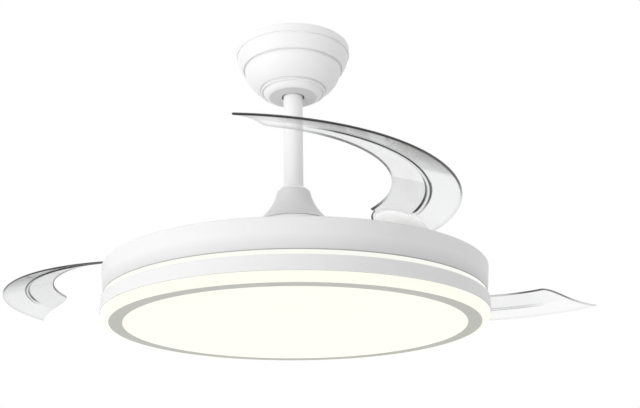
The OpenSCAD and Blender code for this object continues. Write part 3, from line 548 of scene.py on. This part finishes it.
# Thin grey rings at the top of the lit slit and of the diffuser: painted shadow lines.
shadow_rings = [lathe([(r - 3, low), (r, low), (r, high), (r - 3, high)], FINE)
         for r, low, high in ((247.7, -370.05, -369.1), (249.95, -393.75, -393.3))]
piece("shadow_line_rings", *join(*shadow_rings), shadow_grey, "suspension", slot="dark_rubber")

light_ring = [(247.6, SLIT_TOP), (247.6, BAND_TOP), (244.4, BAND_TOP), (244.4, SLIT_TOP)]
turned("glow_slit", light_ring, slit, "suspension", "slit_ring", "glow_plastic", 0.3)

band = [(250.0, BAND_FOOT), (250.7, -393.0), (250.8, -392.3), (250.8, -376.9), (250.5, -376.2),
        (249.9, BAND_TOP), (236.0, BAND_TOP), (236.0, -378.0), (248.4, -378.0),
        (248.4, BAND_FOOT)]
turned("lower_band_ring", band, paint, "suspension", "lower_band", "white_paint", 0.3)

# The diffuser's rounded edge, its face with the ring's groove, then the inner face.
glass = arc(239.8, -394.0, 10.0, range(0, -91, -9))
glass += [(239.02, BASE), (239.02, -403.2), (221.48, -403.2), (221.48, BASE), (160.0, BASE),
          (80.0, BASE), (0, BASE), (0, -401.8), (160.0, -401.8), (239.8, -401.8)]
glass += curve([(243.8, -401.8), (245.8, -399.5), (245.8, -397.0), (245.8, -394.0)], 6)
glass += [(245.8, -386.5), (248.0, -386.5), (248.0, -393.6), (249.8, -393.6)]
turned("opal_cover", glass, opal, "suspension", "diffuser", "opal_diffuser", 0.15, bend=40)

inlay = [(239.0, -403.9), (238.7, BASE), (221.8, BASE), (221.5, -403.9), (221.5, -403.2),
         (239.0, -403.2)]
piece("grey_inlay", *lathe(inlay, FINE), grey, "suspension", ["trim_ring"], "grey_ring")


# ----------------------------------------------------- blades and their hubs

# A blade is drawn folded round the drum and then swung open about its pivot. While it is
# folded, r is the distance from the fan's axis, a the angle clockwise from the pivot, s the
# share of the way from its inner to its outer edge, and t the share from its root to its end.
PIVOT, INNER, OUTER, SHEET = 210.0, 170.0, 242.0, 2.4
OUTER_Z, RISE = -327.5, 23  # height of the outer edge, and of the inner edge above it
ROOT, LEAD, SWING, TIP = 34.5, -54.9, 79.0, 112.0
SHAPE_LENGTH, PAINT_LENGTH = 300, 320  # what a blade's length counts as, root to end
RIM = 0.9  # roundness of the sheet's edge
RIB_DROP, RIB_ACROSS, RIB_ALONG = 1.2, (205.3, 206.1, 209.9, 210.7), (11, 14, 92, 96)

# Where the painted shade of the blades changes: distances from the axis, and angles from the pivot.
OUTER_LINE, INNER_LINE = (238.8, 240.2), (171.2, 172.4)
OUTER_DARKENS, OUTER_FADES = (27, 49), (56, 68)
DIP_STARTS, DIP_ENDS, INNER_FADES = (1, 22), (34, 44), (76, 92)
WALLS_START, WALLS_END, WALLS_NARROW = (10, 12), (84, 97), (34, 44)
WALL_IN_FADES, WALL_OUT_DARKENS = (38, 50), (14, 26)
ROOT_PATCH, SLANT_SHADE_DEEPENS = (37, 40), (54, 74)
ROOT_SHADE = 0.62  # the least painted shade of the inner band as far as the angles ROOT_PATCH

# The grid, with its lines close together where the rims and the rib's walls turn.
RADII = [170.0, 170.1, 170.25, 170.5, 170.8, 171.3, 172.2, 173.4, 175.0, 176.6, 178.0, 180,
         182.5, 185, 188, 191.5, 195, 198.5, 201.5, 203.8, 205.0, 205.5, 205.9, 206.6, 208.0,
         209.4, 210.1, 210.5, 211.0, 212.2, 214.5, 217.5, 221, 224.5, 228, 231, 233.5, 235.6,
         237.4, 239.0, 240.2, 241.0, 241.6, 242.0]
STEPS = [0, 0.0012, 0.003, 0.006] + [0.006 + 0.988 * i / 150 for i in range(1, 150)]
STEPS += [0.994, 0.997, 0.9988, 1]


def mid(r):
    """Height of a blade's middle surface."""
    return OUTER_Z + (OUTER - r) * RISE / (OUTER - INNER)


def plan(r, a):
    """Point at the distance r and the angle a, counted anticlockwise."""
    return Vector((r * cos(radians(a)), r * sin(radians(a))))


def blade_frame(k):
    return turn(LEAD + 120 * (k - 1)) @ shift(PIVOT, 0, 0) @ turn(SWING) @ shift(-PIVOT, 0, 0)


# The end runs in one curve from the slim tip round to the inner edge: (radius, angle).
ending = curve([plan(OUTER, -TIP), plan(OUTER - 24, -TIP + 8.5), plan(INNER, -TIP + 4.5),
                plan(INNER, -TIP + 15)], 120)
ending = [(hypot(*p), -degrees(atan2(p[1], p[0]))) for p in ending]


def start_at(r):
    """Angle at which the root, a disc round the pivot, begins."""
    if r <= PIVOT - ROOT:
        return 0.0
    return -degrees(acos(min(1, (r * r + PIVOT * PIVOT - ROOT * ROOT) / (2 * r * PIVOT))))


def end_at(r):
    """Angle at which the blade ends."""
    for (r1, a1), (r0, a0) in zip(ending, ending[1:]):
        if r0 <= r <= r1:
            return a0 + (a1 - a0) * (r - r0) / (r1 - r0)
    return TIP


def ease(x, a, b):
    """Rises smoothly from 0 at a to 1 at b."""
    t = min(max((x - a) / (b - a), 0.0), 1.0)
    return t * t * (3 - 2 * t)


def hill(x, a, b, c, d):
    """Rises from 0 at a to 1 at b, and falls back from c to d."""
    return ease(x, a, b) - ease(x, c, d)


def face_height(r, a, t, side):
    """Height of the upper (side 1) or lower (side -1) face, with round rims and the rib."""
    inset = min(r - INNER, OUTER - r, t * SHAPE_LENGTH + 0.02, (1 - t) * SHAPE_LENGTH)
    lip = min(1.0, inset / RIM)
    z = mid(r) + side * SHEET / 2 * (1 - (1 - lip) ** 2) ** 0.5
    if side < 0:
        z -= RIB_DROP * (hill(r, *RIB_ACROSS) * hill(a, *RIB_ALONG))
    return z


def rim_shade(look, r, a, s, t):
    """Painted shade: how dark the outer and inner rims, the root and the end are."""
    outer = look["outer_near"] + (1 - look["outer_near"]) * ease(a, *OUTER_DARKENS)
    outer *= 1 - (1 - look["outer_far"]) * ease(a, *OUTER_FADES)
    outer *= ease(r, *OUTER_LINE)
    inner = 0.9 - look["dip"] * ease(a, *DIP_STARTS) * (1 - ease(a, *DIP_ENDS))
    inner *= look["inner_mid"] + (look["inner_far"] - look["inner_mid"]) * ease(a, *INNER_FADES)
    inner *= 1 - ease(r, *INNER_LINE)
    x, y = plan(r, -a)
    root = min(1, max(0.1, cos(atan2(y, x - PIVOT) - radians(66)) + 1.0))
    root *= 1 - ease(t * PAINT_LENGTH, 1.6, 3.2)
    end = look["end"] * (1 - 0.55 * ease(s, 0.3, 1))
    end *= 1 - ease((1 - t) * PAINT_LENGTH, 1.2, 2.6)
    return max(outer, inner, root, end)


def rib_shade(look, r, a):
    """Painted shade: how dark the rib's two walls are. They show wider near the root."""
    wide = 1 - ease(a, *WALLS_NARROW)
    wall_in = hill(r, 204.6 - 0.5 * wide, 205.2 - 0.5 * wide, 206.2, 206.8)
    wall_in *= 1 - (1 - look["rib_far"]) * ease(a, *WALL_IN_FADES)
    wall_out = hill(r, 208.9, 209.5, 210.5 + 0.8 * wide, 211.1 + 0.8 * wide)
    wall_out *= 0.5 + 0.5 * ease(a, *WALL_OUT_DARKENS)
    return max(wall_in, wall_out) * ease(a, *WALLS_START) * (1 - ease(a, *WALLS_END))


def greys(look, a, s):
    """Painted shade: the grey of the inner and outer bands, and the stronger grey of the outer
    band.
    """
    outward, thin = ease(s, 0.50, 0.55), ease(a, *look["thins"])
    haze = look["haze_in"] * (1 - look["lost_in"] * thin) * (1 - outward)
    haze += look["haze_out"] * (1 - look["lost_out"] * thin) * outward
    haze = max(haze, ROOT_SHADE * (1 - ease(a, *ROOT_PATCH)) * (1 - outward))
    smoke = look["slant"] * ease(a + 5 * (s - 1), *look["rise"])
    smoke *= (0.8 + 0.2 * ease(a, *SLANT_SHADE_DEEPENS)) * (1 - look["lost"] * ease(a, *look["fall"]))
    smoke *= (0.65 + 0.35 * ease(s, 0.62, 0.98)) * ease(s, 0.55, 0.58)
    return haze, smoke


def blade_mesh(look):
    """One closed clear sheet with a round rim and a rib under it, and its painted shade values."""
    nr, nt = len(RADII), len(STEPS)
    verts, ink, haze, smoke, sheets = [], [], [], [], []
    for side in (1, -1):
        rows = []
        for r in RADII:
            s = (r - INNER) / (OUTER - INNER)
            rows.append(list(range(len(verts), len(verts) + nt)))
            for t in STEPS:
                a = start_at(r) + t * (end_at(r) - start_at(r))
                verts.append((*plan(r, -a), face_height(r, a, t, side)))
                line, (faint, strong) = rim_shade(look, r, a, s, t), greys(look, a, s)
                if side < 0:
                    line = max(line, rib_shade(look, r, a))
                else:
                    faint = strong = 0.0
                ink.append(line)
                haze.append(faint)
                smoke.append(strong)
        sheets.append(rows)
    top, low = sheets
    faces = []
    for i in range(nr - 1):
        for j in range(nt - 1):
            for rows in sheets:
                faces.append([rows[i][j], rows[i][j + 1], rows[i + 1][j + 1], rows[i + 1][j]])
    loop = ([(0, j) for j in range(nt)] + [(i, nt - 1) for i in range(1, nr)]
            + [(nr - 1, j) for j in range(nt - 2, -1, -1)] + [(i, 0) for i in range(nr - 2, 0, -1)])
    for (i, j), (p, q) in zip(loop, loop[1:] + loop[:1]):
        faces.append([top[i][j], top[p][q], low[p][q], low[i][j]])
    return verts, faces, {"ink": ink, "haze": haze, "smoke": smoke}


def coned_disc(rings, base, n=96):
    """Solid round the pivot from (radius, height over base) rings, leaning as the blade does."""
    verts, faces = [], []
    for q, h in rings:
        for i in range(n):
            x, y = PIVOT + q * cos(2 * pi * i / n), q * sin(2 * pi * i / n)
            verts.append((x, y, mid(hypot(x, y)) + (base + h)))
    m = len(rings)
    for k in range(m):
        for i in range(n):
            j, l = (i + 1) % n, (k + 1) % m
            faces.append([k * n + i, k * n + j, l * n + j, l * n + i])
    return verts, faces


# A shallow white dome under the blade, a flat cap over it and a ring round the shaft.
CAP, HUB_SCREWS = 3.0, 21  # thickness of the cap, and distance of its screws from the pivot
dome = [(7.5, 0), (7.5, -7.6), (14, -7.5), (20, -6.9), (25, -5.8), (28.6, -4.2), (30.7, -2.4),
        (31.4, -1.0), (31.5, -0.3), (31.2, 0)]
cap = [(7.5, 0), (7.5, CAP), (22, CAP), (28.0, 2.9), (28.8, 2.4), (29, 1.6), (29, 0)]
collar = [(7.5, CAP), (7.5, 3.9), (11, 3.9), (11.4, 3.5), (11.4, CAP)]
hub = join(coned_disc(dome, -SHEET / 2), coned_disc(cap, SHEET / 2),
           coned_disc(collar, SHEET / 2))
lean = degrees(atan2(RISE, OUTER - INNER))
hub_bolts = []
for a in (30, 150, 270):
    x, y = PIVOT + HUB_SCREWS * cos(radians(a)), HUB_SCREWS * sin(radians(a))
    at = shift(x, y, mid(hypot(x, y))) @ turn(degrees(atan2(y, x))) @ turn(lean, "Y")
    hub_bolts.append(moved(screw_head(3.2, 1.8), at @ shift(0, 0, SHEET / 2 + CAP)))
    hub_bolts.append(moved(rod(1.6, -SHEET / 2 - 3.5, SHEET / 2 + 3.2, 20), at))
hub_bolts = join(*hub_bolts)

# How each blade catches the light in the photograph, as darkness from 0 to about 1.
# Painted shade of the lines: outer_near and outer_far of the outer rim by the root and away
# from it; dip, what the inner rim lacks by the root; inner_mid and inner_far of the rest of it;
# end; rib_far of the rib's inner wall away from the root. Painted shade where the outer band is
# seen at a slant: slant, which sets in over the angles rise and loses the share lost over the
# angles fall. Painted shade of the sheet: haze_in and haze_out of the two bands, which lose the
# shares lost_in and lost_out over the angles thins.
looks = {
    1: dict(outer_near=0.12, outer_far=1.0, dip=0.85, inner_mid=1.0, inner_far=0.4, end=0.3,
            rib_far=0.4, slant=1.0, rise=(45.5, 50), fall=(84, 100), lost=0.35,
            haze_in=0.36, haze_out=0.34, thins=(96, 112), lost_in=0.3, lost_out=0.3),
    2: dict(outer_near=0.12, outer_far=0.12, dip=0.85, inner_mid=0.5, inner_far=1.0, end=0.85,
            rib_far=0.4, slant=0.6, rise=(42, 46), fall=(84, 100), lost=0.35,
            haze_in=0.45, haze_out=0.12, thins=(86, 108), lost_in=0.7, lost_out=0.7),
    3: dict(outer_near=1.0, outer_far=0.12, dip=0.3, inner_mid=1.0, inner_far=0.6, end=0.12,
            rib_far=1.0, slant=1.4, rise=(-9, -8), fall=(38, 64), lost=1.0,
            haze_in=0.74, haze_out=0.90, thins=(54, 76), lost_in=0.33, lost_out=0.6),
}
for k, look in looks.items():
    body, place = f"blade_arm_{k}", blade_frame(k)
    *sheet, painted = blade_mesh(look)
    piece(f"clear_blade_{k}", *moved(sheet, place), blade_clear, body, [f"blade_{k}"],
          "clear_blade", sharp=60, attributes=painted)
    piece(f"white_hub_{k}", *moved(hub, place), hub_glow_white, body, [f"root_hub_{k}"],
          "white_moulding", sharp=40)
    piece(f"hub_bolts_{k}", *moved(hub_bolts, place), zinc, body, [f"hub_screws_{k}"],
          "zinc_steel", sharp=40)


# ----------------------------------------------------- top of the mechanism

SHROUD_SCREWS = 150  # distance of the cover's screws from the axis

# Two rings are pressed into the cover: one stands up and one is sunk.
shroud = [(79.0, -321.0), (79.0, SHROUD_TOP), (84.0, SHROUD_TOP), (84.6, -318.9), (86.4, -318.9),
          (87.0, SHROUD_TOP), (132.0, SHROUD_TOP), (133.0, -320.1), (135.0, -320.1),
          (136.0, SHROUD_TOP)]
shroud += arc(169.0, -324.5, 5, range(90, -1, -15))
shroud += [(174.0, -329.0), (172.5, -329.0), (172.5, -324.5), (171.2, -322.0), (169.0, -321.0)]
turned("mechanism_shroud", shroud, shell, "rotor", "mechanism_cover", "white_shell", 0.3, 256)

heads = []
for k in range(3):
    at = turn(LEAD + 60 + 120 * k) @ shift(SHROUD_SCREWS, 0, 0)
    heads += [moved(screw_head(3.8, 2.0), at @ shift(0, 0, SHROUD_TOP)),
              moved(rod(1.9, -328.9, -319.4), at)]
piece("cover_screw_heads", *join(*heads), zinc, "rotor", ["cover_screws"], "zinc_steel",
      sharp=40)

# Return springs, drawn stretched as they are with the blades open: a hook round the post on
# the synchroniser, a close coil, and a hook round the post on the rotor. Both posts are
# POST_R from the axis, and the line between them spans twice the angle HALF.
POST_R, POST_Z, HALF = 120.0, -327.0, 17
HOOK, WIRE, COIL, TURNS, PER_TURN = 3.7, 0.8, 2.6, 18, 14
reach = 2 * POST_R * sin(radians(HALF))
coil_low, coil_high = HOOK + 5, reach - HOOK - 5
wire = [(HOOK * cos(radians(a)), HOOK * sin(radians(a)), 0) for a in range(40, 361, 16)]
wire += [(HOOK + 1.5, 0.2, 0.4)]
for i in range(TURNS * PER_TURN + 1):
    a, x = 2 * pi * i / PER_TURN, coil_low + (coil_high - coil_low) * i / (TURNS * PER_TURN)
    wire.append((x, COIL * sin(a), COIL * cos(a)))
wire += [(reach - HOOK - 1.5, 0.2, 0.4)]
wire += [(reach - HOOK * cos(radians(a)), HOOK * sin(radians(a)), 0) for a in range(0, 321, 16)]
spring = tube(wire, WIRE, 8)
for k in range(3):
    at = turn(LEAD + 120 * k) @ shift(POST_R, 0, POST_Z) @ turn(90 + HALF)
    ob = piece(f"return_spring_{k + 1}", *moved(spring, at), spring_steel, None, sharp=60)
    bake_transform(ob)
    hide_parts("return_springs")


# -------------------------------------------------- finishes of CAD nodes

finishes = {
    zinc: ["ceiling_bracket", "clevis_clip", "coupling_set_screws", "shaft_nut", "light_screws",
           "rotor_screws", "motor_base"],
    bright: ["ball_pin", "clevis_pin", "motor_shaft", "bearing_inner_races",
             "bearing_outer_races", "bearing_balls", "pivot_shaft_1", "pivot_shaft_2",
             "pivot_shaft_3", "coupling"],
    rod_light_and_shade_paint: ["downrod"],
    casting: ["motor_bell"],
    gear_white: ["sync_guide", "sync_gear", "blade_gear_1", "blade_gear_2", "blade_gear_3"],
    moulding: ["terminal_block", "led_driver"],
    bronze: ["earth_screw", "pivot_bushes"],
    rubber: ["hanger_ball"],
    stack: ["stator_core"],
    copper: ["stator_windings"],
    sheath: ["supply_cable"],
    aluminium: ["led_tray", "blade_carrier"],
    board: ["led_board"],
    chip: ["led_chips"],
    magnet: ["rotor_magnets"],
}
for mat, names in finishes.items():
    for name in names:
        data = nodes[name].data
        data.materials.clear()
        data.materials.append(mat)


# ------------------------------------------------------- floor and light

FLOOR_RADIUS, FLOOR_Z, FLOOR_GLOW, FLOOR_SIDES = 14, -2.35, 0.3, 96
TOWARDS_LIGHT, DARKEST, BRIGHTEST = (-0.70, -0.10, 0.70), 0.60, 0.77

floor_mat = surface("pale_floor", (0.90, 0.90, 0.90), 0.9, vary=0.006, patch=1.5, grain=60,
                    bump=0.0001, Emission_Color=WHITE)
tree = floor_mat.node_tree
camera_ray = add_node(tree, "LightPath").outputs["Is Camera Ray"]
glow = add_node(tree, "Math", {0: camera_ray, 1: FLOOR_GLOW}, operation="MULTIPLY")
tree.links.new(glow.outputs[0], tree.nodes["Principled BSDF"].inputs["Emission Strength"])
edge = [(FLOOR_RADIUS * cos(2 * pi * i / FLOOR_SIDES), FLOOR_RADIUS * sin(2 * pi * i / FLOOR_SIDES),
         FLOOR_Z) for i in range(FLOOR_SIDES)]
mesh = bpy.data.meshes.new("floor")
mesh.from_pydata([(0, 0, FLOOR_Z)] + edge, [],
                 [[0, 1 + i, 1 + (i + 1) % FLOOR_SIDES] for i in range(FLOOR_SIDES)])
mesh.materials.append(floor_mat)
floor = bpy.data.objects.new("floor", mesh)
bpy.context.scene.collection.objects.link(floor)

# The room's light falls off slowly from the upper left to the lower right. Camera, glossy and
# transmission rays see plain white in its place.
world = bpy.data.worlds.new("studio")
bpy.context.scene.world = world
world.use_nodes = True
wt = world.node_tree
wt.nodes.clear()
where = add_node(wt, "TexCoord").outputs["Generated"]
along = add_node(wt, "VectorMath", {0: where, 1: TOWARDS_LIGHT}, operation="DOT_PRODUCT")
level = add_node(wt, "MapRange", {"Value": along.outputs["Value"], "From Min": -1.0,
                                  "From Max": 1.0, "To Min": DARKEST, "To Max": BRIGHTEST})
room = add_node(wt, "Background", {"Color": WHITE, "Strength": level.outputs["Result"]})
plain = add_node(wt, "Background", {"Color": WHITE, "Strength": 1.0})
rays = add_node(wt, "LightPath").outputs
seen = add_node(wt, "Math", {0: rays["Is Camera Ray"], 1: rays["Is Glossy Ray"]},
                operation="MAXIMUM")
seen = add_node(wt, "Math", {0: seen.outputs[0], 1: rays["Is Transmission Ray"]},
                operation="MAXIMUM")
both = add_node(wt, "MixShader", {0: seen.outputs[0], 1: room.outputs[0], 2: plain.outputs[0]})
add_node(wt, "OutputWorld", {"Surface": both.outputs[0]})


def add_lamp(name, kind, place, target, **settings):
    """A light at place whose beam points to target."""
    light = bpy.data.lights.new(name, kind)
    for key, value in settings.items():
        setattr(light, key, value)
    lamp = bpy.data.objects.new(name, light)
    lamp.location = place
    beam = Vector(target) - Vector(lamp.location)
    lamp.rotation_euler = beam.to_track_quat("-Z", "Y").to_euler()
    bpy.context.scene.collection.objects.link(lamp)


add_lamp("key", "AREA", (-2.22, -1.73, -0.94), (0, 0, -0.25), shape="DISK", size=2.4,
         energy=27.5)
# A soft spot brings the canopy and the top of the rod up to the ceiling's brightness.
add_lamp("canopy_spot", "SPOT", (-0.65, -1.9, -0.35), (0, 0, -0.08), energy=32,
         shadow_soft_size=0.25, spot_size=radians(13), spot_blend=1.0)
